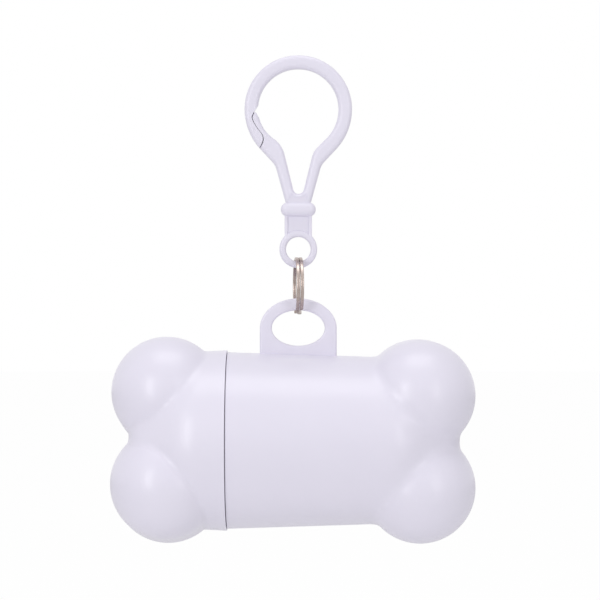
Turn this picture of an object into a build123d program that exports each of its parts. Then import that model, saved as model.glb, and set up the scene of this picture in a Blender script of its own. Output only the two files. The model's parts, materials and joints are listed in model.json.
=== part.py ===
from build123d import *
import math
import os

# A bone-shaped bag dispenser that hangs from a plastic snap hook by a split ring.
# Millimetres. The origin is the centre of the hook's loop, +Z is up, the front faces -Y.

# ---------------------------------------------------------------- snap hook
loop_bore_r = 9.4           # inside of the round loop
loop_width = 3.2            # width of the loop's rod, seen from the front
hook_thickness = 3.4        # depth of the rod, front to back
hook_edge_r = 1.1           # rounding of the rod's long edges
outer_hip_r = 13.6          # outer outline below the loop's middle
outer_hip_turn = 43.0       # degrees
outer_straight = 4.2        # straight stretch into the waist
outer_waist_r = 4.0
outer_taper = 15.5          # angle of the limbs' outer sides off vertical
inner_hip_r = 9.8           # inner outline of the fixed limb
inner_hip_turn = 45.0
inner_straight = 3.0
inner_waist_r = 4.6
inner_taper = 14.0
gate_hip_r = 8.4            # inner outline of the gate limb, which is fuller
gate_hip_turn = 54.0
gate_straight = 0.4
gate_waist_r = 6.2
crotch_drop = 18.9          # loop's centre to the centre of the round between the limbs
collar_drop = 23.5          # loop's centre to the middle of the collar bead
collar_length = 8.2
collar_height = 3.2
collar_depth = 4.6
collar_edge_r = 1.2
neck_width = 6.4
neck_thickness = 2.6
neck_rim = 0.7              # raised edges of the neck plate
neck_rim_drop = 0.1         # how far these lie below the eye's face
neck_recess = 0.45          # how far the web lies below it
eye_drop = 32.8             # loop's centre to the centre of the eye
eye_bore_r = 2.87
eye_width = 1.56
eye_edge_r = 0.6

# ---------------------------------------------------------------- gate
gate_pivot_drop = 17.5      # height on the limb where it flexes, below the loop's centre
parting_gap = 0.2           # open line between the gate and the nose
knuckle_gap = 0.06          # clearance round the flexing root

# ---------------------------------------------------------------- split ring
ring_bore_r = 5.95
wire_radial = 0.7
wire_axial = 0.65
turn_gap = 0.41             # between the two turns, side by side
ring_yaw = 4.3              # degrees that the ring hangs turned about the vertical
crossover_start = 241.0     # where the wire steps across from one turn to the other
crossover_arc = 40.0
wire_end_gap = 3.0          # degrees left open at each cut end
hang_gap = 0.06             # clearance where one thing hangs in another

# ---------------------------------------------------------------- lug
lug_width = 18.0
lug_thickness = 2.2
lug_bar = 2.8               # height of the bar that hangs in the ring
lug_arch = 7.0              # height of the arched top
lug_hole_length = 12.4
lug_hole_height = 8.3
lug_hole_rise = 10.2        # barrel's surface to the top edge of the hole
lug_edge_r = 0.5

# ---------------------------------------------------------------- bags: the case is made round them
roll_r = 14.0
roll_length = 52.0
roll_shift = 2.5            # the roll lies up against the barrel's rounded end
roll_gap = 0.3
room_round_roll = 5.0       # what the case's mouth is wider than the roll, on each side
core_bore_r = 6.0
core_wall = 1.2
core_fit = 0.05

# ---------------------------------------------------------------- bone
bone_shift = -1.2           # the bone's middle lies to the left of the lug's
seam_gap = 0.35
wall = 1.9
barrel_mouth_r = roll_r + room_round_roll + wall
barrel_bend_r = barrel_mouth_r - 1.4
cap_rim_r = barrel_mouth_r + 0.3
cap_bend_r = cap_rim_r - 0.4
bend_reach = roll_length / 2 - 5    # bone's middle to where the ends begin to round over
cap_side = 5.7              # the cap's straight side, from the seam to where it rounds over
seam_reach = bend_reach - cap_side
dome_r = 14.0
dome_angle = 35.0
valley_edge_r = 8.0
cap_turn = 10.5             # degrees that the cap was pushed on out of line, front side up

knob_r = barrel_mouth_r - 8
knob_clear = 0.85           # the cap's rim to where its knobs begin
knob_reach = seam_reach + seam_gap + knob_clear + knob_r    # bone's middle to the knobs' centres
barrel_reach = knob_reach + 9.2         # bone's middle to the flat valley between the knobs
cap_reach = knob_reach + 8.6
knob_spread = barrel_mouth_r - 10.2     # bone's axis to the knobs' centres
knob_half_depth = 5.0       # half the straight length of a knob, front to back
knob_wall = 3.0
barrel_crease_r = 2.6
cap_crease_r = 1.2

# ---------------------------------------------------------------- push fit of cap and barrel
spigot_r = barrel_mouth_r - 1.6
spigot_length = 6.5
spigot_lead = 0.4
bore_mouth_r = spigot_r - 1.1
cap_fit = 0.08
seat_gap = 0.3
rim_chamfer = 0.3

# ---------------------------------------------------------------- dispensing slot, in the back
slot_length = 27.0
slot_height = 6.6
slot_rim = 1.3
slot_rim_rise = 0.7
slot_rim_edge_r = 0.3
slot_reach = 3.0            # bone's middle to the slot's middle

# ================================================================ places worked out from these
eye_flat = neck_thickness / 2 - eye_edge_r
ring_half_axial = wire_axial + turn_gap / 2
ring_half_seen = ring_half_axial + eye_flat * math.tan(math.radians(ring_yaw))
eye_sag = ring_bore_r - math.sqrt(ring_bore_r**2 - eye_flat**2)
ring_seat = math.sqrt((eye_bore_r - hang_gap) ** 2 - ring_half_seen**2) - eye_sag
ring_z = -eye_drop - ring_seat - ring_bore_r

lug_sag = ring_bore_r - math.sqrt(ring_bore_r**2 - (lug_thickness / 2) ** 2)
hole_sag = lug_hole_height / 2 * (1 - math.sqrt(1 - (2 * ring_half_seen / lug_hole_length) ** 2))
lug_hole_top = ring_z - ring_bore_r + lug_sag + hole_sag + hang_gap
lug_hole_z = lug_hole_top - lug_hole_height / 2
lug_top = lug_hole_top + lug_bar

barrel_slope = (barrel_mouth_r - barrel_bend_r) / (seam_reach + bend_reach)
barrel_r_at_lug = barrel_mouth_r - barrel_slope * (seam_reach - bone_shift)
bone_z = lug_hole_top - lug_hole_rise - barrel_r_at_lug
bone_centre = Vector(bone_shift, 0, bone_z)
bone_axis = Axis(bone_centre, (1, 0, 0))
barrel_plane = Plane(origin=bone_centre, x_dir=(1, 0, 0), z_dir=(0, -1, 0))
cap_tilt = math.radians(cap_turn)
cap_plane = Plane(
    origin=bone_centre,
    x_dir=(-1, 0, 0),
    z_dir=(0, math.cos(cap_tilt), -math.sin(cap_tilt)),
)

os.makedirs("parts", exist_ok=True)


def finish(piece, label):
    """Name a finished piece and write it."""
    piece.part.label = label
    export_step(piece.part, f"parts/{label}.step")


# ================================================================ snap hook: the whole rod
# The gate is the left limb of the same moulding, so the rod is drawn whole and then parted.
def limb_outline(side, start_r, hip_r, hip_turn, slope_length, waist_r, taper, drop):
    """Half of the rod's outline, from the loop's middle down one limb to a given depth."""
    hip = JernArc((side * start_r, 0), (0, -1), hip_r, -side * hip_turn)
    slope = Line(hip @ 1, hip @ 1 + (hip % 1) * slope_length)
    waist = JernArc(slope @ 1, hip % 1, waist_r, side * (hip_turn - taper))
    run = (drop + (waist @ 1).Y) / math.cos(math.radians(taper))
    return Line(waist @ 1, waist @ 1 + (waist % 1) * run)


loop_out_r = loop_bore_r + loop_width
with BuildPart() as rod:
    with BuildSketch(Plane.XZ):
        with BuildLine():
            CenterArc((0, 0), loop_out_r, 0, 180)
            outer_shape = (loop_out_r, outer_hip_r, outer_hip_turn, outer_straight, outer_waist_r, outer_taper)
            outer_right = limb_outline(1, *outer_shape, collar_drop)
            outer_left = limb_outline(-1, *outer_shape, collar_drop)
            Line(outer_right @ 1, outer_left @ 1)
        make_face()
        with BuildLine():
            CenterArc((0, 0), loop_bore_r, 0, 180)
            inner_shape = (loop_bore_r, inner_hip_r, inner_hip_turn, inner_straight, inner_waist_r, inner_taper)
            gate_shape = (loop_bore_r, gate_hip_r, gate_hip_turn, gate_straight, gate_waist_r, inner_taper)
            inner_right = limb_outline(1, *inner_shape, crotch_drop)
            inner_left = limb_outline(-1, *gate_shape, crotch_drop)
            TangentArc(inner_right @ 1, inner_left @ 1, tangent=inner_right % 1)
        make_face(mode=Mode.SUBTRACT)
    extrude(amount=hook_thickness / 2, both=True)
    fillet(rod.faces().filter_by(Axis.Y).edges(), hook_edge_r)

# the gate flexes about the middle of its limb, a little above the crotch
outer_at_pivot = (outer_left @ 1).X - (collar_drop - gate_pivot_drop) * math.tan(math.radians(outer_taper))
inner_at_pivot = (inner_left @ 1).X - (crotch_drop - gate_pivot_drop) * math.tan(math.radians(inner_taper))
gate_pivot = ((outer_at_pivot + inner_at_pivot) / 2, -gate_pivot_drop)
limb_lean = math.radians((outer_taper + inner_taper) / 2)
knuckle_r = (inner_at_pivot - outer_at_pivot) / 2 * math.cos(limb_lean)
across = (math.cos(limb_lean), math.sin(limb_lean))


def in_rod(share, degrees_down):
    """A point of the left side of the loop: its share of the rod's width, and its angle."""
    radius = loop_bore_r + share * loop_width
    angle = math.radians(180 + degrees_down)
    return (radius * math.cos(angle), radius * math.sin(angle))


# The parting line is a lazy S: it hooks over behind the nose, then runs out through the rod.
# Each point is a share of the rod's width and the angle below the loop's middle.
s_points = [
    in_rod(0.25, 4.5),      # the gate's tip
    in_rod(0.47, 12),       # hooked behind the nose
    in_rod(0.36, 24.6),
    in_rod(0.30, 37),       # the nose's bulge
    in_rod(0.62, 43.8),
    in_rod(1.3, 46.5),      # clear of the rod
]
# below the line, both regions run round the limb to its flexing root
limb_side = [
    (outer_at_pivot - loop_width, -gate_pivot_drop + loop_width),
    (gate_pivot[0] - loop_width * across[0], -gate_pivot_drop - loop_width * across[1]),
    (gate_pivot[0] + loop_width * across[0], -gate_pivot_drop + loop_width * across[1]),
    (0, -crotch_drop / 2),
    in_rod(-1, 25),
]
with BuildSketch(Plane.XZ) as gate_region:
    with BuildLine():
        gate_line = Spline(*s_points)
        Polyline(gate_line @ 1, *limb_side, in_rod(-0.05, 14.5), in_rod(0.13, 5.5), gate_line @ 0)
    make_face()
    with Locations(gate_pivot):
        Circle(knuckle_r)

# the nose is cut back along the same line, moved out and a little up, and its inner corner is cut off
with BuildSketch(Plane.XZ) as nose_clearance:
    with BuildLine():
        nose_line = Spline(*[(x - parting_gap, z + parting_gap / 2) for x, z in s_points])
        Polyline(nose_line @ 1, *limb_side, in_rod(-0.4, -7.5), in_rod(0, -5), nose_line @ 0)
    make_face()
    with Locations(gate_pivot):
        Circle(knuckle_r + knuckle_gap)

with BuildPart() as hook_gate:
    add(rod.part)
    with BuildSketch(Plane.XZ):
        add(gate_region.sketch)
    extrude(amount=hook_thickness, both=True, mode=Mode.INTERSECT)
finish(hook_gate, "hook_gate")

with BuildPart() as eye:
    with BuildSketch(Plane.XZ):
        with Locations((0, -eye_drop)):
            Circle(eye_bore_r + eye_width)
            Circle(eye_bore_r, mode=Mode.SUBTRACT)
    extrude(amount=neck_thickness / 2, both=True)
    fillet(eye.faces().filter_by(Axis.Y).edges(), eye_edge_r)

with BuildPart() as snap_hook:
    add(rod.part)
    with BuildSketch(Plane.XZ):
        add(nose_clearance.sketch)
    extrude(amount=hook_thickness, both=True, mode=Mode.SUBTRACT)
    # collar bead
    with BuildSketch(Plane.XZ):
        with Locations((0, -collar_drop)):
            SlotOverall(collar_length, collar_height)
    extrude(amount=collar_depth / 2, both=True)
    collar_faces = snap_hook.faces().filter_by(Axis.Y).group_by(Axis.Y)
    fillet(collar_faces[0].edges() + collar_faces[-1].edges(), collar_edge_r)
    add(eye.part)
    # neck plate: a thin web between two raised edges
    neck_length = eye_drop - collar_drop
    for strip_width, inset, depth in (
        (neck_width, 0, neck_thickness - 2 * neck_recess),
        (neck_rim, (neck_width - neck_rim) / 2, neck_thickness - 2 * neck_rim_drop),
    ):
        with BuildSketch(Plane.XZ):
            for side in (1, -1):
                with Locations((side * inset, -collar_drop - neck_length / 2)):
                    Rectangle(strip_width, neck_length)
            with Locations((0, -eye_drop)):
                Circle(eye_bore_r + eye_width / 2, mode=Mode.SUBTRACT)
        extrude(amount=depth / 2, both=True)
finish(snap_hook, "snap_hook")

# ================================================================ split ring
# One flat wire, wound twice. Both turns are flat except where the wire steps from one to the other.
ring_mid_r = ring_bore_r + wire_radial / 2
turn_pitch = wire_axial + turn_gap
yaw = math.radians(ring_yaw)
ring_plane = Plane(
    origin=(0, 0, ring_z),
    x_dir=(-math.sin(yaw), math.cos(yaw), 0),
    z_dir=(math.cos(yaw), math.sin(yaw), 0),
)
flat_arc = 360 - crossover_arc - wire_end_gap


def flat_turn(shift, start):
    """One flat turn of the wire, as two arcs."""
    half = flat_arc / 2
    return [CenterArc((0, 0, shift), ring_mid_r, start + i * half, half) for i in range(2)]


def meeting_point(start, start_tangent, end, end_tangent):
    """Where two arcs meet that leave and arrive along the given tangents."""
    across_gap = end - start
    tangents = start_tangent + end_tangent
    spread = 2 * (1 - start_tangent.dot(end_tangent))
    run = across_gap.dot(tangents)
    reach = (math.sqrt(run**2 + spread * across_gap.dot(across_gap)) - run) / spread
    return (start + start_tangent * reach + end - end_tangent * reach) / 2


with BuildPart() as split_ring:
    with BuildLine(ring_plane) as ring_path:
        first_turn = flat_turn(-turn_pitch / 2, crossover_start - flat_arc)
        second_turn = flat_turn(turn_pitch / 2, crossover_start + crossover_arc)
        leave, leave_tangent = first_turn[1] @ 1, first_turn[1] % 1
        arrive, arrive_tangent = second_turn[0] @ 0, second_turn[0] % 0
        middle = meeting_point(leave, leave_tangent, arrive, arrive_tangent)
        step_over = TangentArc(leave, middle, tangent=leave_tangent)
        TangentArc(middle, arrive, tangent=step_over % 1)
    wire_path = ring_path.wires()[0]
    wire_start = Plane(origin=wire_path @ 0, x_dir=ring_plane.z_dir, z_dir=wire_path % 0)
    with BuildSketch(wire_start):
        Rectangle(wire_axial, wire_radial)
    sweep(path=wire_path)
finish(split_ring, "split_ring")


# ================================================================ the bone's shells
def end_profile(start, start_r, bend, bend_r, corner_r, shoulder_r, reach):
    """Half section of a shell: a drafted side, a rounded shoulder, a slope and a flat end."""
    with BuildSketch() as profile:
        with BuildLine():
            side = Line((start, start_r), (bend, bend_r))
            draft = math.degrees(math.atan2(start_r - bend_r, bend - start))
            shoulder = JernArc(side @ 1, side % 1, shoulder_r, draft - dome_angle)
            run = (reach - (shoulder @ 1).X) / math.cos(math.radians(dome_angle))
            slope = Line(shoulder @ 1, shoulder @ 1 + (shoulder % 1) * run)
            Polyline(slope @ 1, (reach, 0), (start, 0), (start, start_r))
        make_face()
        end_corner = profile.vertices().group_by(Axis.X)[-1].sort_by(Axis.Y)[-1]
        fillet(end_corner, corner_r)
    return profile.sketch


def knobs(plane, radius):
    """The two knobs of one end: round seen from the front, and deeper than they are wide."""
    with BuildPart(plane) as pair:
        for side in (1, -1):
            with Locations((knob_reach, side * knob_spread)):
                Cylinder(radius, 2 * knob_half_depth)
            for depth in (knob_half_depth, -knob_half_depth):
                with Locations((knob_reach, side * knob_spread, depth)):
                    Sphere(radius)
    return pair.part


def knob_pockets(plane, bore_r):
    """The hollows in the knobs, as far out as a core can be drawn from the shell's mouth."""
    with BuildPart() as pockets:
        add(knobs(plane, knob_r - knob_wall))
        with BuildSketch(Plane(origin=bone_centre, z_dir=plane.x_dir)):
            Circle(bore_r)
        extrude(amount=knob_reach + knob_r, mode=Mode.INTERSECT)
    return pockets.part


def creases(part):
    """The edges where the knobs run into the shell."""
    return part.edges().filter_by(lambda e: e.geom_type not in (GeomType.LINE, GeomType.CIRCLE))


# ---------------------------------------------------------------- barrel
# lug: an arched plate with an oval hole, rooted in the middle of the barrel's wall
lug_foot_z = bone_z + bore_mouth_r + wall / 2
straight_top = lug_top - lug_arch
with BuildPart() as lug:
    with BuildSketch(Plane.XZ):
        with Locations((0, (straight_top + lug_foot_z) / 2)):
            Rectangle(lug_width, straight_top - lug_foot_z)
        with Locations((0, straight_top)):
            Ellipse(lug_width / 2, lug_arch)
        with Locations((0, lug_hole_z)):
            Ellipse(lug_hole_length / 2, lug_hole_height / 2, mode=Mode.SUBTRACT)
    extrude(amount=lug_thickness / 2, both=True)
    fillet(lug.faces().filter_by(Axis.Y).edges(), lug_edge_r)

# rim: the barrel's own outline a little larger, kept only round the slot
slot_plane = Plane(origin=bone_centre + (slot_reach, 0, 0), x_dir=(1, 0, 0), z_dir=(0, 1, 0))
with BuildPart() as rim:
    with BuildSketch(barrel_plane):
        add(end_profile(-seam_reach, barrel_mouth_r + slot_rim_rise, bend_reach,
                        barrel_bend_r + slot_rim_rise, valley_edge_r, dome_r, barrel_reach))
    revolve(axis=bone_axis)
    with BuildSketch(slot_plane):
        SlotOverall(slot_length + 2 * slot_rim, slot_height + 2 * slot_rim)
    extrude(amount=barrel_mouth_r + 2 * slot_rim_rise, mode=Mode.INTERSECT)
    fillet(rim.faces().sort_by(Axis.Y)[-1].edges(), slot_rim_edge_r)

with BuildPart() as barrel:
    with BuildSketch(barrel_plane):
        add(end_profile(-seam_reach, barrel_mouth_r, bend_reach, barrel_bend_r,
                        valley_edge_r, dome_r, barrel_reach))
    revolve(axis=bone_axis)
    add(knobs(barrel_plane, knob_r))
    fillet(creases(barrel), barrel_crease_r)

    # spigot
    with BuildSketch(Plane(origin=bone_centre, z_dir=(-1, 0, 0)).offset(seam_reach)):
        Circle(spigot_r)
    extrude(amount=spigot_length)
    chamfer(barrel.edges().group_by(Axis.X)[0], spigot_lead)

    add(lug.part)
    add(rim.part)
    with BuildSketch(slot_plane):
        SlotOverall(slot_length, slot_height)
    extrude(amount=barrel_mouth_r + 2 * slot_rim_rise, mode=Mode.SUBTRACT)

    # bore, drawn straight out through the mouth, with a hollow in each knob
    with BuildSketch(barrel_plane):
        add(end_profile(-seam_reach - spigot_length, bore_mouth_r, bend_reach, barrel_bend_r - wall,
                        valley_edge_r - wall, dome_r - wall, barrel_reach - wall))
    revolve(axis=bone_axis, mode=Mode.SUBTRACT)
    add(knob_pockets(barrel_plane, barrel_bend_r - wall), mode=Mode.SUBTRACT)
finish(barrel, "barrel")

# ---------------------------------------------------------------- end cap
with BuildPart() as end_cap:
    with BuildSketch(cap_plane):
        add(end_profile(seam_reach + seam_gap, cap_rim_r, bend_reach, cap_bend_r,
                        valley_edge_r, dome_r, cap_reach))
    revolve(axis=bone_axis)
    add(knobs(cap_plane, knob_r))
    fillet(creases(end_cap), cap_crease_r)
    chamfer(end_cap.edges().group_by(Axis.X)[-1], rim_chamfer)
    # skirt bore over the spigot, then the hollow beyond it
    with BuildSketch(Plane(origin=bone_centre, z_dir=(-1, 0, 0)).offset(seam_reach)):
        Circle(spigot_r + cap_fit)
    extrude(amount=spigot_length + seat_gap, mode=Mode.SUBTRACT)
    with BuildSketch(cap_plane):
        add(end_profile(seam_reach, cap_bend_r - wall, bend_reach, cap_bend_r - wall,
                        valley_edge_r - wall, dome_r - wall, cap_reach - wall))
    revolve(axis=bone_axis, mode=Mode.SUBTRACT)
    add(knob_pockets(cap_plane, cap_bend_r - wall), mode=Mode.SUBTRACT)

finish(end_cap, "end_cap")


# ================================================================ bag roll on its core
def room_at(bend_r, reach):
    """Radius of the hollow inside a rounded shoulder and the slope beyond it."""
    inner_r = dome_r - wall
    slope = math.radians(dome_angle)
    on_round = min(reach - bend_reach, inner_r * math.sin(slope))
    on_slope = reach - bend_reach - on_round
    return bend_r - dome_r + math.sqrt(inner_r**2 - on_round**2) - on_slope * math.tan(slope)


roll_room = min(
    room_at(barrel_bend_r, roll_length / 2 + roll_shift),
    room_at(cap_bend_r, roll_length / 2 - roll_shift),
)
roll_drop = roll_room - roll_r - roll_gap
roll_plane = Plane(origin=bone_centre + (roll_shift - roll_length / 2, 0, -roll_drop), z_dir=(1, 0, 0))
core_r = core_bore_r + core_wall

with BuildPart() as roll_core:
    with BuildSketch(roll_plane):
        Circle(core_r)
        Circle(core_bore_r, mode=Mode.SUBTRACT)
    extrude(amount=roll_length)
finish(roll_core, "roll_core")

with BuildPart() as bag_roll:
    with BuildSketch(roll_plane):
        Circle(roll_r)
        Circle(core_r + core_fit, mode=Mode.SUBTRACT)
    extrude(amount=roll_length)
finish(bag_roll, "bag_roll")

# ================================================================ places that the joints use
samples = 240
track = [wire_path @ (i / samples) for i in range(samples + 1)]
near = samples // 4
least = min((track[i] - track[j]).length for i in range(samples) for j in range(i + near, samples + 1))
print("split ring: least gap between the turns", round(least - wire_axial, 3))
print("gate pivot", gate_pivot, "ring centre", ring_z, "bone centre", bone_z, "roll drop", roll_drop)
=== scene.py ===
import json
import math

import bpy
from mathutils import Matrix, Vector

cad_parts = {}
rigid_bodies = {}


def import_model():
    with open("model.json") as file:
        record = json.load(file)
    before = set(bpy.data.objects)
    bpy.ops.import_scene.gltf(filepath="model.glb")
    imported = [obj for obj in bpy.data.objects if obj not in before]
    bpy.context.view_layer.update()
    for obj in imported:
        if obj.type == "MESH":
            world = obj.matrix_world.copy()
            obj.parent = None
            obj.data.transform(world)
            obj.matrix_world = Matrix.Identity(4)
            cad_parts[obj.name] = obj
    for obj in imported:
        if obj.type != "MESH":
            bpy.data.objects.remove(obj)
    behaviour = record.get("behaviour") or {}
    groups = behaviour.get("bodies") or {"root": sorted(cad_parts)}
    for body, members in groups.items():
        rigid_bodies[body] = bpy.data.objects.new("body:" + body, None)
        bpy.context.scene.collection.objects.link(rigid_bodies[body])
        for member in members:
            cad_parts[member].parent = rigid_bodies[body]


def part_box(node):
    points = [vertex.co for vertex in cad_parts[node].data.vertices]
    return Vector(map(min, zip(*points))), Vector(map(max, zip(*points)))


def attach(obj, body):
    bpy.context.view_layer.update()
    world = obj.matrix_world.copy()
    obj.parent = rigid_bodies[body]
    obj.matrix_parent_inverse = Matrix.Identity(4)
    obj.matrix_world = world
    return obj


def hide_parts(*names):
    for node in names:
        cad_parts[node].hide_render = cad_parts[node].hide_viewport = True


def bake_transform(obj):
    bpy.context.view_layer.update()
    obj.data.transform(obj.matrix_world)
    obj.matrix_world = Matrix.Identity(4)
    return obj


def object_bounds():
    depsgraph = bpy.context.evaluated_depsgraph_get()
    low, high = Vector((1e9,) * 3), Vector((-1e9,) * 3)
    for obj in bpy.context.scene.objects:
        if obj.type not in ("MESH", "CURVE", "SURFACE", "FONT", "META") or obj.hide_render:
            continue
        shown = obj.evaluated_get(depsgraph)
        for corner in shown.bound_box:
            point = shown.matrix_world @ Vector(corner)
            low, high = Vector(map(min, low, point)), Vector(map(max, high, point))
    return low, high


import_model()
cad_low, cad_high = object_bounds()
MM = 0.001
weld_gap = 0.001 * MM   # points closer than this are one


# ------------------------------------------------------------------ card core
# The bags are wound on a small tube of grey card, cut square at both ends. It lies loose in the
# case with the roll on it.
core_low, core_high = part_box("roll_core")
core_z = (core_low.z + core_high.z) / 2
core_r = (core_high.z - core_low.z) / 2
core_wall = 1.2 * MM
core_edge_r = 0.2 * MM
card_light = (0.46, 0.40, 0.33, 1)
card_dark = (0.33, 0.28, 0.22, 1)


def rounded(corners, steps=6):
    """Points of a closed outline: each corner (u, v, radius) is rounded by its own radius."""
    points = []
    for i, (u, v, radius) in enumerate(corners):
        here = Vector((u, v))
        if radius == 0:
            points.append(here)
            continue
        before = (Vector(corners[i - 1][:2]) - here).normalized()
        after = (Vector(corners[(i + 1) % len(corners)][:2]) - here).normalized()
        half = before.angle(after) / 2
        middle = here + (before + after).normalized() * radius / math.sin(half)
        first = here + before * radius / math.tan(half) - middle
        last = here + after * radius / math.tan(half) - middle
        turn = -first.angle_signed(last)
        points += [middle + Matrix.Rotation(turn * k / steps, 2) @ first for k in range(steps + 1)]
    return points


def alone(piece):
    """Make this piece the only one selected."""
    bpy.ops.object.select_all(action="DESELECT")
    bpy.context.view_layer.objects.active = piece
    piece.select_set(True)


def worked(piece, kind, **settings):
    """Change a piece's mesh for good with one modifier, which has these settings."""
    alone(piece)
    change = piece.modifiers.new(kind, kind)
    for key, value in settings.items():
        setattr(change, key, value)
    bpy.ops.object.modifier_apply(modifier=change.name)


def outline(name, points):
    """A closed line of edges, drawn by extruding one vertex from point to point."""
    bpy.ops.object.select_all(action="DESELECT")
    bpy.ops.mesh.primitive_plane_add(size=MM)
    piece = bpy.context.object
    piece.name = name
    bpy.ops.object.mode_set(mode="EDIT")
    bpy.ops.mesh.merge(type="CENTER")
    bpy.ops.transform.translate(value=points[0])
    for here, there in zip(points, points[1:] + points[:1]):
        bpy.ops.mesh.extrude_region_move(TRANSFORM_OT_translate={"value": there - here})
    bpy.ops.mesh.select_all(action="SELECT")
    bpy.ops.mesh.remove_doubles(threshold=weld_gap)
    return piece


def turned(name, corners, height=0, steps=128, round_steps=6):
    """A solid turned about the X direction at this height: a corner is (x, radius, rounding)."""
    piece = outline(name, [Vector((p.x, 0, height + p.y)) for p in rounded(corners, round_steps)])
    bpy.ops.mesh.spin(steps=steps, angle=math.tau, center=(0, 0, height), axis=(1, 0, 0))
    bpy.ops.mesh.select_all(action="SELECT")
    bpy.ops.mesh.remove_doubles(threshold=2 * weld_gap)
    bpy.ops.mesh.normals_make_consistent(inside=False)
    bpy.ops.object.mode_set(mode="OBJECT")
    return piece


def smooth(piece, degrees=35):
    """Smooth shading that stays sharp where faces meet at more than the given angle."""
    alone(piece)
    bpy.ops.object.shade_smooth_by_angle(angle=math.radians(degrees))


def node(tree, kind, inputs=None, **settings):
    """Add one shader node, with its settings, and a value or a link for its sockets."""
    made = tree.nodes.new(kind)
    for key, value in settings.items():
        setattr(made, key, value)
    for key, value in (inputs or {}).items():
        if isinstance(value, bpy.types.NodeSocket):
            tree.links.new(value, made.inputs[key])
        else:
            made.inputs[key].default_value = value
    return made


def new_material(name, **values):
    """A material with the plain shader, and with these constant values on its sockets."""
    material = bpy.data.materials.new(name)
    material.use_nodes = True
    shader = material.node_tree.nodes["Principled BSDF"]
    for key, value in values.items():
        shader.inputs[key.replace("_", " ")].default_value = value
    return material, material.node_tree, shader


# an uneven surface: one noise drives its tone, its roughness and a shallow relief
uneven = bpy.data.node_groups.new("uneven_surface", "ShaderNodeTree")
for socket, kind in (("Stretch", "Vector"), ("Scale", "Float"), ("Dark", "Color"), ("Light", "Color"),
                     ("Smoothest", "Float"), ("Roughest", "Float"), ("Relief", "Float")):
    uneven.interface.new_socket(socket, in_out="INPUT", socket_type="NodeSocket" + kind)
for socket, kind in (("Color", "Color"), ("Roughness", "Float"), ("Normal", "Vector")):
    uneven.interface.new_socket(socket, in_out="OUTPUT", socket_type="NodeSocket" + kind)
given = node(uneven, "NodeGroupInput").outputs
spot = node(uneven, "ShaderNodeTexCoord").outputs["Object"]
stretched = node(uneven, "ShaderNodeVectorMath", {0: spot, 1: given["Stretch"]}, operation="MULTIPLY")
noise = node(uneven, "ShaderNodeTexNoise",
             {"Vector": stretched.outputs["Vector"], "Scale": given["Scale"], "Detail": 5})
share = noise.outputs["Fac"]
tone = node(uneven, "ShaderNodeMix", {0: share, 6: given["Dark"], 7: given["Light"]}, data_type="RGBA")
sheen = node(uneven, "ShaderNodeMapRange",
             {"Value": share, "To Min": given["Smoothest"], "To Max": given["Roughest"]})
relief = node(uneven, "ShaderNodeBump", {"Height": share, "Distance": given["Relief"]})
node(uneven, "NodeGroupOutput",
     {"Color": tone.outputs[2], "Roughness": sheen.outputs["Result"], "Normal": relief.outputs["Normal"]})


def lay_on(tree, shader, outputs, scale, stretch=(1, 1, 1), **values):
    """Put the uneven surface on a shader's sockets, with this scale, stretch and values."""
    inputs = {"Scale": scale, "Stretch": stretch, **values}
    surface = node(tree, "ShaderNodeGroup", inputs, node_tree=uneven)
    for output, socket in outputs.items():
        tree.links.new(surface.outputs[output], shader.inputs[socket])


whole_surface = {"Color": "Base Color", "Roughness": "Roughness", "Normal": "Normal"}
card, card_tree, card_shader = new_material("grey_card")
lay_on(card_tree, card_shader, whole_surface, scale=2600, Dark=card_dark, Light=card_light,
       Smoothest=0.84, Roughest=0.92, Relief=0.05 * MM)

core = turned("card_core", [
    (core_low.x, core_r, core_edge_r),
    (core_high.x, core_r, core_edge_r),
    (core_high.x, core_r - core_wall, core_edge_r),
    (core_low.x, core_r - core_wall, core_edge_r),
], core_z, steps=96)
smooth(core)
core.data.materials.append(card)
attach(core, "roll")
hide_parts("roll_core")


# ------------------------------------------------------------------ bag roll
# One long strip of thin tinted film, folded lengthwise and wound tight on the core. The edges of
# its turns wander a little at both ends of the roll, and its free end lies flat on the outside.
roll_low, roll_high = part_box("bag_roll")
roll_r = (roll_high.z - roll_low.z) / 2
roll_half = (roll_high.x - roll_low.x) / 2
roll_middle = (roll_low.x + roll_high.x) / 2
film_thickness = 0.17 * MM
film_pitch = 0.3 * MM
film_wander = 0.14 * MM
turn_points = 72
film_deep = (0.030, 0.150, 0.235, 1)
film_pale = (0.080, 0.255, 0.350, 1)


def draw_line(drawing, points, closed):
    """Draw one line through these points in a curve."""
    line = drawing.splines.new("POLY")
    line.points.add(len(points) - 1)
    for made, wanted in zip(line.points, points):
        made.co = (*Vector(wanted).to_3d(), 1)
    line.use_cyclic_u = closed


def put_in_scene(name, data):
    """A new object in the scene that holds this data."""
    made = bpy.data.objects.new(name, data)
    bpy.context.scene.collection.objects.link(made)
    return made


def flat_curve(name, outlines, half_depth, edge_r=0, edge_steps=4, closed=True):
    """A flat drawn shape made solid: filled if closed, this deep each way, with rounded edges."""
    drawing = bpy.data.curves.new(name, "CURVE")
    drawing.dimensions = "2D"
    drawing.fill_mode = "BOTH" if closed else "NONE"
    drawing.extrude = half_depth - edge_r
    drawing.bevel_depth = edge_r
    drawing.offset = -edge_r
    drawing.bevel_resolution = edge_steps
    for points in outlines:
        draw_line(drawing, points, closed)
    alone(put_in_scene(name, drawing))
    bpy.ops.object.convert(target="MESH")
    return bpy.context.object


def set_down(piece, location=(0, 0, 0), rotation=(0, 0, 0)):
    """Put a piece in its place and work that place into its mesh. Angles are in degrees."""
    alone(piece)
    piece.location = location
    piece.rotation_euler = [math.radians(angle) for angle in rotation]
    bpy.ops.object.transform_apply(location=True, rotation=True, scale=True)


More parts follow.
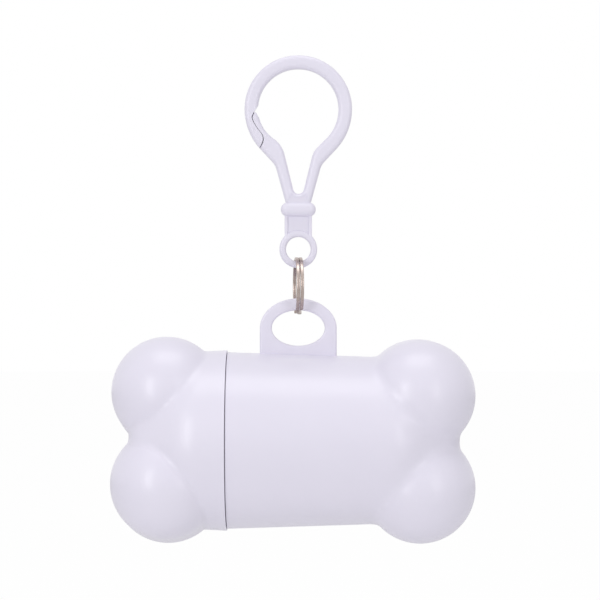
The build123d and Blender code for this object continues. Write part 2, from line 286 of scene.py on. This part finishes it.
film, film_tree, film_shader = new_material("tinted_film")
lay_on(film_tree, film_shader, whole_surface, scale=1400, stretch=(0.04, 1, 1),
       Dark=film_deep, Light=film_pale, Smoothest=0.36, Roughest=0.50, Relief=0.08 * MM)

first_turn_r = core_r + film_pitch / 2
film_steps = int((roll_r - film_thickness / 2 - first_turn_r) / film_pitch * turn_points)
spiral = []
for step in range(film_steps + 1):
    angle = math.tau * step / turn_points
    radius = first_turn_r + film_pitch * step / turn_points
    spiral.append((radius * math.cos(angle), radius * math.sin(angle)))
roll = flat_curve("film_roll", [spiral], roll_half - 2 * film_wander, closed=False)
for vertex in roll.data.vertices:
    turn = (vertex.co.xy.length - first_turn_r) / film_pitch
    lean = math.atan2(vertex.co.y, vertex.co.x)
    vertex.co.z += film_wander * (math.sin(2.3 * turn) + 0.6 * math.sin(5.1 * turn + lean))
worked(roll, "SOLIDIFY", thickness=film_thickness, offset=0)
set_down(roll, (roll_middle, 0, core_z), (0, 90, 0))
smooth(roll)
roll.data.materials.append(film)
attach(roll, "roll")
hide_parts("bag_roll")


# ------------------------------------------------------------------ barrel
# The long shell of the case, moulded in white plastic with its two knobs, the lug it hangs by and
# the rimmed slot in its back. A thin spigot at its mouth takes the end cap.
barrel_low, barrel_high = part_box("barrel")
knob_r = 12.9 * MM
knob_reach = 29.4 * MM
knob_spread = 10.7 * MM
knob_half_depth = 5.0 * MM
knob_wall = 3.0 * MM
wall = 1.9 * MM
bone_middle = Vector((barrel_high.x - knob_reach - knob_r, 0, barrel_low.z + knob_spread + knob_r))
seam_reach = 15.3 * MM
barrel_r = 20.9 * MM
barrel_bend_r = 19.5 * MM
bend_reach = 21.0 * MM
dome_r = 14.0 * MM
dome_angle = 35
valley_edge_r = 8.0 * MM
barrel_reach = 38.6 * MM
spigot_r = 19.3 * MM
spigot_length = 6.5 * MM
spigot_wall = 1.1 * MM
spigot_edge_r = 0.4 * MM
bore_edge_r = 0.15 * MM
rim_edge_r = 0.2 * MM
lug_half = 9.0 * MM
lug_thickness = 2.2 * MM
lug_arch = 7.0 * MM
lug_bar = 2.8 * MM
lug_edge_r = 0.5 * MM
lug_hole = (6.2 * MM, 4.15 * MM)
slot_reach = 3.0 * MM
slot_length = 27.0 * MM
slot_height = 6.6 * MM
slot_rim = 1.3 * MM
slot_rim_rise = 0.7 * MM
slot_rim_edge_r = 0.3 * MM
slot_tool_start = 10 * MM
grid_size = 0.42 * MM
knob_clear = 0.05 * MM      # nearer than this, a point of the shell lies on a knob
knob_middle = 0.01 * MM     # nearer than this, a point of a knob lies on its middle plane
spare_length = 2 * MM       # how far the raw shell reaches past its mouth before it is cut

# the cutting tools follow a shell's rim closely, then flare away from it
flare_start = 1.2 * MM
flare_end = 1.5 * MM
flare_clear = 0.1 * MM
far = 45 * MM


def shoulder(start, start_r, bend_r, reach, thickness=0):
    """Corners of a shell's outline from its side, over the shoulder, to the middle of its end."""
    draft = math.atan2(start_r - bend_r, bend_reach - start)
    slope = math.radians(dome_angle)
    to_corner = (dome_r - thickness) * math.tan((slope - draft) / 2)
    corner_x = bend_reach + to_corner * math.cos(draft)
    corner_r = bend_r - to_corner * math.sin(draft)
    end_r = corner_r - (reach - corner_x) * math.tan(slope)
    valley_r = valley_edge_r - thickness
    return [(corner_x, corner_r, dome_r - thickness), (reach, end_r, valley_r), (reach, 0, 0)]


def choose(piece, test):
    """Select the vertices whose place passes the test, in edit mode."""
    alone(piece)
    bpy.ops.object.mode_set(mode="EDIT")
    bpy.ops.mesh.select_mode(type="VERT")
    bpy.ops.mesh.select_all(action="DESELECT")
    bpy.ops.object.mode_set(mode="OBJECT")
    for vertex in piece.data.vertices:
        vertex.select = test(vertex.co)
    bpy.ops.object.mode_set(mode="EDIT")


def knob(side, radius):
    """One knob: a ball, drawn out front to back."""
    bpy.ops.object.select_all(action="DESELECT")
    bpy.ops.mesh.primitive_uv_sphere_add(segments=96, ring_count=48, radius=radius,
                                         location=(knob_reach, 0, side * knob_spread),
                                         rotation=(math.pi / 2, 0, 0))
    ball = bpy.context.object
    bpy.ops.object.transform_apply(location=True, rotation=True, scale=True)
    for half in (1, -1):
        choose(ball, lambda place: place.y * half > knob_middle)
        bpy.ops.transform.translate(value=(0, half * knob_half_depth, 0))
        bpy.ops.object.mode_set(mode="OBJECT")
    return ball


def combine(piece, other, operation):
    """Apply an exact Boolean of one piece with another, which is used up."""
    worked(piece, "BOOLEAN", operation=operation, solver="EXACT", object=other)
    bpy.data.objects.remove(other)


def bone_end(name, start, side_r, bend_r, reach, crease_steps):
    """The outside of one end of the bone, its knobs run into it, with softened creases."""
    corners = [(start, 0, 0), (start, side_r, 0)] + shoulder(start, side_r, bend_r, reach)
    skin = turned(name, corners, round_steps=16)
    for side in (1, -1):
        combine(skin, knob(side, knob_r), "UNION")
    worked(skin, "REMESH", mode="VOXEL", voxel_size=grid_size)

    def beside_knob(place):
        core_y = max(-knob_half_depth, min(knob_half_depth, place.y))
        gap = min((place - Vector((knob_reach, core_y, side * knob_spread))).length for side in (1, -1))
        return knob_clear < gap - knob_r < grid_size * crease_steps ** 0.5

    choose(skin, beside_knob)
    for _ in range(round(crease_steps ** 0.5)):
        bpy.ops.mesh.select_more()
    bpy.ops.mesh.vertices_smooth(factor=0.5, repeat=2 * crease_steps)
    bpy.ops.mesh.select_all(action="SELECT")
    bpy.ops.mesh.vertices_smooth(factor=0.5, repeat=2)
    bpy.ops.object.mode_set(mode="OBJECT")
    return skin


def hollow(tool, bore_r):
    """Cut from a turned tool the two pockets that the knobs' insides leave in the shell."""
    for side in (1, -1):
        pocket = knob(side, knob_r - knob_wall)
        bpy.ops.object.select_all(action="DESELECT")
        bpy.ops.mesh.primitive_cylinder_add(vertices=128, radius=bore_r, depth=2 * far,
                                            rotation=(0, math.pi / 2, 0))
        bore = bpy.context.object
        bpy.ops.object.transform_apply(location=True, rotation=True, scale=True)
        combine(pocket, bore, "INTERSECT")
        combine(tool, pocket, "DIFFERENCE")


def oval(half_width, half_height, middle=(0, 0), steps=96):
    """Points round an ellipse."""
    return [(middle[0] + half_width * math.cos(math.tau * k / steps),
             middle[1] + half_height * math.sin(math.tau * k / steps)) for k in range(steps)]


def stadium(length, height, steps=24):
    """Points round a slot with half-round ends."""
    corners = [(right * length / 2, up * height / 2) for right, up in ((1, 1), (-1, 1), (-1, -1), (1, -1))]
    return rounded([(*corner, 0.499 * height) for corner in corners], steps)


white_pale = (0.778, 0.750, 0.858, 1)
white_shade = (0.748, 0.720, 0.834, 1)
white, white_tree, white_shader = new_material("white_plastic")
lay_on(white_tree, white_shader, {"Color": "Base Color", "Roughness": "Roughness"}, scale=70,
       Dark=white_shade, Light=white_pale, Smoothest=0.28, Roughest=0.34)
lay_on(white_tree, white_shader, {"Normal": "Normal"}, scale=1600, Relief=0.002 * MM)

spigot_end = -seam_reach - spigot_length
barrel = bone_end("barrel_shell", spigot_end - spare_length, barrel_r, barrel_bend_r, barrel_reach, 16)

# a turned tool gives the shell its spigot, the rim of its mouth and its hollow
bore_r = spigot_r - spigot_wall
inside = shoulder(spigot_end, bore_r, barrel_bend_r - wall, barrel_reach - wall, wall)
barrel_tool = turned("barrel_tool", [
    (spigot_end, bore_r, bore_edge_r),
    (spigot_end, spigot_r, spigot_edge_r),
    (-seam_reach, spigot_r, 0),
    (-seam_reach, barrel_r, rim_edge_r),
    (-seam_reach + flare_start, barrel_r + flare_clear, 0),
    (-seam_reach + flare_end, far, 0),
    (far, far, 0),
    (far, 0, 0),
] + inside[::-1], round_steps=10)
hollow(barrel_tool, barrel_bend_r - wall)

# slot in the back, with a raised rim that follows the shell
slot_rim_outline = stadium(slot_length + 2 * slot_rim, slot_height + 2 * slot_rim)
slot_frame = flat_curve("slot_rim", [slot_rim_outline], far / 2)
set_down(slot_frame, (slot_reach, far / 2 + slot_tool_start, 0), (90, 0, 0))
raised = turned("raised", [
    (-seam_reach, 0, 0),
    (-seam_reach, barrel_r + slot_rim_rise, 0),
    (bend_reach, barrel_bend_r + slot_rim_rise, 0),
    (bend_reach, 0, 0),
])
combine(slot_frame, raised, "INTERSECT")
worked(slot_frame, "BEVEL", width=slot_rim_edge_r, segments=3, angle_limit=math.radians(50))
slot_cut = flat_curve("slot_cut", [stadium(slot_length, slot_height)], far / 2)
set_down(slot_cut, (slot_reach, far / 2 + slot_tool_start, 0), (90, 0, 0))
combine(barrel_tool, slot_cut, "DIFFERENCE")

# lug: an arched plate with an oval hole, standing on the shell
lug_x = -bone_middle.x
lug_top = barrel_high.z - bone_middle.z
lug_foot = spigot_r
arch = [(lug_half * math.cos(math.pi * k / 64), lug_top - lug_arch + lug_arch * math.sin(math.pi * k / 64))
        for k in range(65)]
lug_outline = [(-lug_half, lug_foot), (lug_half, lug_foot)] + arch
lug_eye = oval(*lug_hole, (0, lug_top - lug_bar - lug_hole[1]))
lug = flat_curve("lug", [lug_outline, lug_eye[::-1]], lug_thickness / 2, lug_edge_r)
set_down(lug, (lug_x, 0, 0), (90, 0, 0))

combine(barrel, lug, "UNION")
combine(barrel, slot_frame, "UNION")
combine(barrel, barrel_tool, "INTERSECT")
set_down(barrel, bone_middle)
smooth(barrel)
barrel.data.materials.append(white)
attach(barrel, "barrel")
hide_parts("barrel")


# ------------------------------------------------------------------ end cap
# The short shell with the other two knobs, of the same white plastic. It pushes on over the
# barrel's spigot, stands a little proud of the barrel, and sits turned a few degrees out of line.
cap_turn = 10.5
seam_gap = 0.18 * MM
cap_r = 21.2 * MM
cap_bend_r = 20.8 * MM
cap_reach = 38.0 * MM
cap_fit = 0.08 * MM
seat_gap = 0.3 * MM

end_cap = bone_end("cap_shell", seam_reach - spare_length, cap_r, cap_bend_r, cap_reach, 3)

# its own tool gives it the rim of its mouth, the seat for the spigot and its hollow
cap_mouth = seam_reach + seam_gap
cap_seat = seam_reach + spigot_length + seat_gap
cap_inside = shoulder(seam_reach, cap_bend_r - wall, cap_bend_r - wall, cap_reach - wall, wall)
cap_tool = turned("cap_tool", [
    (cap_mouth, spigot_r + cap_fit, rim_edge_r),
    (cap_mouth, cap_r, rim_edge_r),
    (cap_mouth + flare_start, cap_r + flare_clear, 0),
    (cap_mouth + flare_end, far, 0),
    (far, far, 0),
    (far, 0, 0),
] + cap_inside[::-1] + [
    (cap_seat, cap_bend_r - wall, 0),
    (cap_seat, spigot_r + cap_fit, 0),
], round_steps=10)
hollow(cap_tool, cap_bend_r - wall)
combine(end_cap, cap_tool, "INTERSECT")
set_down(end_cap, bone_middle, (cap_turn, 0, 180))
smooth(end_cap)
end_cap.data.materials.append(white)
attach(end_cap, "cap")
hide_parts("end_cap")


# ------------------------------------------------------------------ snap hook
# One flat bulb-shaped moulding of the same plastic: a round loop with a hooked nose, two limbs, a
# fat collar bead, and a thin neck plate with an eye at its foot for the split ring.
loop_bore_r = 9.4 * MM
loop_width = 3.2 * MM
loop_r = loop_bore_r + loop_width
hook_half = 1.7 * MM
hook_edge_r = 1.1 * MM
collar_drop = 23.5 * MM
crotch_drop = 18.9 * MM
collar_length = 8.2 * MM
collar_height = 3.2 * MM
collar_half = 2.3 * MM
neck_width = 6.4 * MM
neck_half = 1.3 * MM
neck_recess = 0.45 * MM
neck_rim = 0.75 * MM
eye_drop = 32.8 * MM
eye_bore_r = 2.87 * MM
eye_r = 4.43 * MM
eye_edge_r = 0.62 * MM
eye_overlap = 0.4 * MM      # how far the neck plate runs into the eye's ring
neck_rim_drop = 0.1 * MM
neck_edge_r = 0.2 * MM
collar_edge_r = 1.3 * MM
limb_cut = 19.2 * MM
parting_gap = 0.2 * MM
tool_overlap = 0.01 * MM    # how far the two halves of a stepped tool run into each other

# a limb's outline: radius and turn of its hip, straight run, radius of its waist, angle below it
outer_shape = (13.6 * MM, 43, 4.2 * MM, 4.0 * MM, 15.5)
inner_taper = 14
inner_shape = (9.8 * MM, 45, 3.0 * MM, 4.6 * MM, inner_taper)
gate_shape = (8.4 * MM, 54, 0.4 * MM, 6.2 * MM, inner_taper)

# the sunk plate between the limbs' foot and the collar: half width and depth at its top and foot
plate_top = (2.45 * MM, 21.3 * MM)
plate_foot = (2.2 * MM, 22.8 * MM)
plate_sink = 0.18 * MM
crotch_bead = 0.8 * MM


def route(start, heading, moves, steps=14):
    """Points along straight runs (length,) and tangent turns (radius, degrees)."""
    place = Vector(start)
    points = [place.copy()]
    for move in moves:
        along = Vector((math.cos(math.radians(heading)), math.sin(math.radians(heading))))
        if len(move) == 1:
            place = place + along * move[0]
            points.append(place.copy())
            continue
        radius, degrees = move
        side = Vector((-along.y, along.x)) * math.copysign(1, degrees)
        centre = place + side * radius
        for k in range(1, steps + 1):
            points.append(centre + Matrix.Rotation(math.radians(degrees * k / steps), 2) @ (place - centre))
        place = points[-1]
        heading += degrees
    return points


def limb(start_r, shape, drop):
    """The outline of the left limb on one side, from level with the loop down to a given depth."""
    hip_r, hip_turn, straight, waist_r, taper = shape
    points = route((-start_r, 0), -90, [(hip_r, hip_turn), (straight,), (waist_r, taper - hip_turn)])
    last = points[-1]
    run = last.y + drop
    return points + [last + Vector((run * math.tan(math.radians(taper)), -run))]


def mirrored(points):
    """The same points on the right."""
    return [Vector((-x, y)) for x, y in points]


def half_ring(radius, steps=64):
    """The upper half of a circle, from the right to the left."""
    return [(radius * math.cos(math.pi * k / steps), radius * math.sin(math.pi * k / steps))
            for k in range(1, steps)]


def through(points, steps=8):
    """A smooth line through the given points."""
    points = [Vector(p) for p in points]
    ends = [2 * points[0] - points[1]] + points + [2 * points[-1] - points[-2]]
    line = []
    for a, b, c, d in zip(ends, ends[1:], ends[2:], ends[3:]):
        for k in range(steps):
            t = k / steps
            line.append(0.5 * (2 * b + (c - a) * t + (2 * a - 5 * b + 4 * c - d) * t**2
                               + (3 * b - a - 3 * c + d) * t**3))
    return line + [points[-1]]


outer_limb = limb(loop_r, outer_shape, collar_drop)
inner_limb = limb(loop_bore_r, inner_shape, crotch_drop)
gate_limb = limb(loop_bore_r, gate_shape, crotch_drop)
fixed_side = mirrored(inner_limb)
crotch_gap = (fixed_side[-1] - gate_limb[-1]).length
crotch_lean = math.radians(inner_taper)
crotch_r = crotch_gap / (2 * math.cos(crotch_lean))
crotch_round = route(gate_limb[-1], inner_taper - 90, [(crotch_r, 180 - 2 * inner_taper)])
rod_outside = half_ring(loop_r) + outer_limb + mirrored(outer_limb)[::-1]
rod_inside = half_ring(loop_bore_r) + gate_limb + crotch_round[1:-1] + fixed_side[::-1]


def upright(piece):
    """Stand a flat piece up in the plane of the hook."""
    set_down(piece, rotation=(90, 0, 0))
    return piece


def level(piece):
    """Let the flat faces stay flat in the shading, right up to their rounded edges."""
    worked(piece, "WEIGHTED_NORMAL", keep_sharp=True, weight=100)


def in_rod(share, degrees_down):
    """A place on the left of the loop: its share of the rod's width, and its angle below level."""
    radius = loop_bore_r + share * loop_width
    angle = math.radians(180 + degrees_down)
    return Vector((radius * math.cos(angle), radius * math.sin(angle)))


# the parting line hooks over behind the nose, then runs out through the rod in a lazy S
parting_places = ((0.25, 4.5), (0.47, 12), (0.36, 24.6), (0.30, 37), (0.62, 43.8), (1.3, 46.5))
parting = through([in_rod(*place) for place in parting_places])
round_the_limb = [
    Vector((-1.1 * loop_r, -0.8 * limb_cut)),
    Vector((-1.1 * loop_r, -limb_cut)),
    Vector((0, -limb_cut)),
    Vector((0, -crotch_drop / 2)),
    in_rod(-1, 25),
]
tip_places = ((-0.12, 19), (0.02, 12), (0.10, 7.5), (0.18, 5), (0.25, 4.5))
gate_tip = through([in_rod(*place) for place in tip_places])
gate_region = parting + round_the_limb + gate_tip[:-1]
nose_shift = Vector((-parting_gap, parting_gap / 2))
nose_line = [place + nose_shift for place in parting]
nose_region = nose_line + round_the_limb + [in_rod(-0.4, -7.5), in_rod(0, -5)]


def lapped(name, region):
    """A cutting tool whose outline steps over to the left behind the middle of the rod."""
    deep = 1.5 * hook_half
    front = flat_curve(name, [region], deep)
    set_down(front, (0, -deep, 0), (90, 0, 0))
    back = flat_curve(name, [[place + nose_shift for place in region]], deep)
    set_down(back, (0, deep - tool_overlap, 0), (90, 0, 0))
    combine(front, back, "UNION")
    return front


def rod(name):
    """The whole rod of the hook, before the gate is parted from it."""
    return upright(flat_curve(name, [rod_outside, rod_inside[::-1]], hook_half, hook_edge_r, 8))


hook = rod("hook_body")
combine(hook, lapped("nose_cut", nose_region), "DIFFERENCE")

# between the limbs' foot and the collar lies a flat plate, sunk a little inside a raised edge
crotch_middle = gate_limb[-1] + Vector((math.cos(crotch_lean), math.sin(crotch_lean))) * crotch_r
plate = [crotch_middle + Matrix.Rotation(math.radians(degrees), 2) @ Vector((crotch_r + crotch_bead, 0))
         for degrees in range(215, 326, 10)]
plate_right = [Vector((half_width, -drop)) for half_width, drop in (plate_top, plate_foot)]
plate += plate_right + mirrored(plate_right)[::-1]
for side in (1, -1):
    sunk = flat_curve("plate", [plate], hook_half)
    set_down(sunk, (0, side * (2 * hook_half - plate_sink), 0), (90, 0, 0))
    combine(hook, sunk, "DIFFERENCE")

collar = flat_curve("collar", [stadium(collar_length, collar_height)], collar_half, collar_edge_r, 8)
set_down(collar, (0, 0, -collar_drop), (90, 0, 0))
combine(hook, collar, "UNION")
bore = oval(eye_bore_r, eye_bore_r, (0, -eye_drop))
inside_eye = oval(eye_bore_r + eye_overlap, eye_bore_r + eye_overlap, (0, -eye_drop))
neck_foot = -eye_drop + eye_bore_r * 0.6
for half_width, middle, half_depth in (
    ((neck_width - neck_rim) / 2, 0, neck_half - neck_recess),
    (neck_rim / 2, (neck_width - neck_rim) / 2, neck_half - neck_rim_drop),
    (neck_rim / 2, (neck_rim - neck_width) / 2, neck_half - neck_rim_drop),
):
    left, right = middle - half_width, middle + half_width
    strip = [(left, -collar_drop), (left, neck_foot), (right, neck_foot), (right, -collar_drop)]
    web = upright(flat_curve("web", [strip], half_depth, neck_edge_r))
    combine(web, upright(flat_curve("inside_eye", [inside_eye], 3 * hook_half)), "DIFFERENCE")
    combine(hook, web, "UNION")
eye_ring = flat_curve("eye_ring", [oval(eye_r, eye_r, (0, -eye_drop)), bore[::-1]], neck_half, eye_edge_r, 6)
combine(hook, upright(eye_ring), "UNION")
smooth(hook)
level(hook)
hook.data.materials.append(white)
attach(hook, "hook")
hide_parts("snap_hook")


# ------------------------------------------------------------------ gate
# The left limb of the same moulding, parted from the nose by the S-shaped line. Its tip rests
# behind the nose.
gate = rod("gate_limb")
combine(gate, lapped("gate_cut", gate_region), "INTERSECT")
smooth(gate)
level(gate)
gate.data.materials.append(white)
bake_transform(gate)
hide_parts("hook_gate")


# ------------------------------------------------------------------ split ring
# Two turns of flat nickel-plated steel wire, side by side, that step across from one to the other
# once. The ends are cut and lie close along the turns.
ring_low, ring_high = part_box("split_ring")
ring_middle = (ring_low + ring_high) / 2
wire_radial = 0.7 * MM
wire_axial = 0.80 * MM
wire_edge_r = 0.2 * MM
turn_pitch = 0.90 * MM
ring_yaw = 4.3
crossover_start = 241
crossover_arc = 40
wire_end_gap = 3
ring_mid_r = (ring_high.z - ring_low.z) / 2 - wire_radial / 2
flat_arc = 360 - crossover_arc - wire_end_gap
ring_step = 2

nickel_rubbed = (0.58, 0.49, 0.45, 1)
nickel_dull = (0.38, 0.31, 0.28, 1)
nickel, nickel_tree, nickel_shader = new_material("nickel", Metallic=1)
lay_on(nickel_tree, nickel_shader, whole_surface, scale=900, Dark=nickel_dull, Light=nickel_rubbed,
       Smoothest=0.20, Roughest=0.36, Relief=0.002 * MM)

wire_section = bpy.data.curves.new("wire_section", "CURVE")
wire_section.dimensions = "2D"
section = rounded([(right * wire_radial / 2, up * wire_axial / 2, wire_edge_r)
                   for right, up in ((-1, -1), (1, -1), (1, 1), (-1, 1))], 4)
draw_line(wire_section, section, closed=True)
section_object = put_in_scene("wire_section", wire_section)

wire_line = bpy.data.curves.new("split_ring_wire", "CURVE")
wire_line.dimensions = "3D"
wire_line.twist_mode = "Z_UP"
wire_line.bevel_mode = "OBJECT"
wire_line.bevel_object = section_object
wire_line.use_fill_caps = True
places = []
for step in range(0, 2 * flat_arc + crossover_arc + 1, ring_step):
    degrees = crossover_start - flat_arc + step
    share = min(1, max(0, (degrees - crossover_start) / crossover_arc))
    shift = turn_pitch * (share * share * (3 - 2 * share) - 0.5)
    angle = math.radians(degrees)
    places.append((ring_mid_r * math.cos(angle), ring_mid_r * math.sin(angle), shift))
draw_line(wire_line, places, closed=False)
alone(put_in_scene("split_ring_wire", wire_line))
bpy.ops.object.convert(target="MESH")
ring = bpy.context.object
bpy.data.objects.remove(section_object)
set_down(ring, ring_middle, (90, 0, 90 + ring_yaw))
smooth(ring)
ring.data.materials.append(nickel)
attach(ring, "ring")
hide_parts("split_ring")


# ------------------------------------------------------------------ studio
# A white floor well below the hanging case, a white surround, one large soft lamp overhead and two
# soft lamps in front, one each side of the camera.
floor_drop = 60 * MM
floor_z = cad_low.z - floor_drop
floor_glow = 0.975          # how white the floor is to the camera, where 1 is pure white
sky_glow = 0.6              # how strongly the surround lights the plain surfaces
bpy.ops.object.select_all(action="DESELECT")
bpy.ops.mesh.primitive_plane_add(size=6, location=(0, 0, floor_z))
floor = bpy.context.object
floor.name = "floor"
paper, paper_tree, paper_shader = new_material("white_paper", Roughness=0.9)
paper_shader.inputs["Base Color"].default_value = (0.9, 0.9, 0.9, 1)
paper_light = node(paper_tree, "ShaderNodeEmission", {"Color": (1, 1, 1, 1), "Strength": 1})
paper_ray = node(paper_tree, "ShaderNodeLightPath")
paper_seen = node(paper_tree, "ShaderNodeMath", {0: paper_ray.outputs["Is Camera Ray"], 1: floor_glow},
                  operation="MULTIPLY")
paper_mix = node(paper_tree, "ShaderNodeMixShader", {0: paper_seen.outputs[0], 1: paper_shader.outputs[0],
                                                     2: paper_light.outputs[0]})
paper_tree.links.new(paper_mix.outputs[0], paper_tree.nodes["Material Output"].inputs["Surface"])
floor.data.materials.append(paper)

world = bpy.data.worlds.new("studio")
bpy.context.scene.world = world
world.use_nodes = True
world_tree = world.node_tree
world_tree.nodes.clear()
sky_ray = node(world_tree, "ShaderNodeLightPath")
sky_white = node(world_tree, "ShaderNodeBackground", {"Color": (1, 1, 1, 1), "Strength": 1})
sky_soft = node(world_tree, "ShaderNodeBackground", {"Color": (1, 1, 1, 1), "Strength": sky_glow})
camera_ray, glossy_ray = sky_ray.outputs["Is Camera Ray"], sky_ray.outputs["Is Glossy Ray"]
through_ray = sky_ray.outputs["Is Transmission Ray"]
sky_seen = node(world_tree, "ShaderNodeMath", {0: camera_ray, 1: glossy_ray}, operation="MAXIMUM")
sky_bare = node(world_tree, "ShaderNodeMath", {0: sky_seen.outputs[0], 1: through_ray}, operation="MAXIMUM")
sky_mix = node(world_tree, "ShaderNodeMixShader", {0: sky_bare.outputs[0], 1: sky_soft.outputs[0],
                                                   2: sky_white.outputs[0]})
node(world_tree, "ShaderNodeOutputWorld", {"Surface": sky_mix.outputs[0]})

subject = Vector((0, 0, (cad_low.z + cad_high.z) / 2))


def soft_lamp(name, azimuth, elevation, distance, width, height, power):
    """A soft square lamp that faces the subject. Azimuth 0 is in front, and 90 on the right."""
    turn, lift = math.radians(azimuth), math.radians(elevation)
    away = Vector((math.sin(turn) * math.cos(lift), -math.cos(turn) * math.cos(lift), math.sin(lift)))
    bpy.ops.object.light_add(type="AREA", location=subject + away * distance)
    lamp = bpy.context.object
    lamp.name = name
    lamp.rotation_euler = away.to_track_quat("Z", "Y").to_euler()
    lamp.data.shape = "RECTANGLE"
    lamp.data.size = width
    lamp.data.size_y = height
    lamp.data.energy = power


soft_lamp("overhead_lamp", azimuth=0, elevation=80, distance=0.9, width=0.7, height=0.5, power=2.35)
soft_lamp("left_lamp", azimuth=-34, elevation=10, distance=1.1, width=0.24, height=0.7, power=2.7)
soft_lamp("right_lamp", azimuth=34, elevation=10, distance=1.1, width=0.2, height=0.7, power=1.25)

camera_place = (0.4 * MM, -0.5, -44.7 * MM)
bpy.ops.object.camera_add(location=camera_place, rotation=(math.pi / 2, 0, 0))
camera = bpy.context.object
camera.data.sensor_width = 36
camera.data.lens = 128
bpy.context.scene.camera = camera
bpy.context.scene.view_settings.view_transform = "Standard"
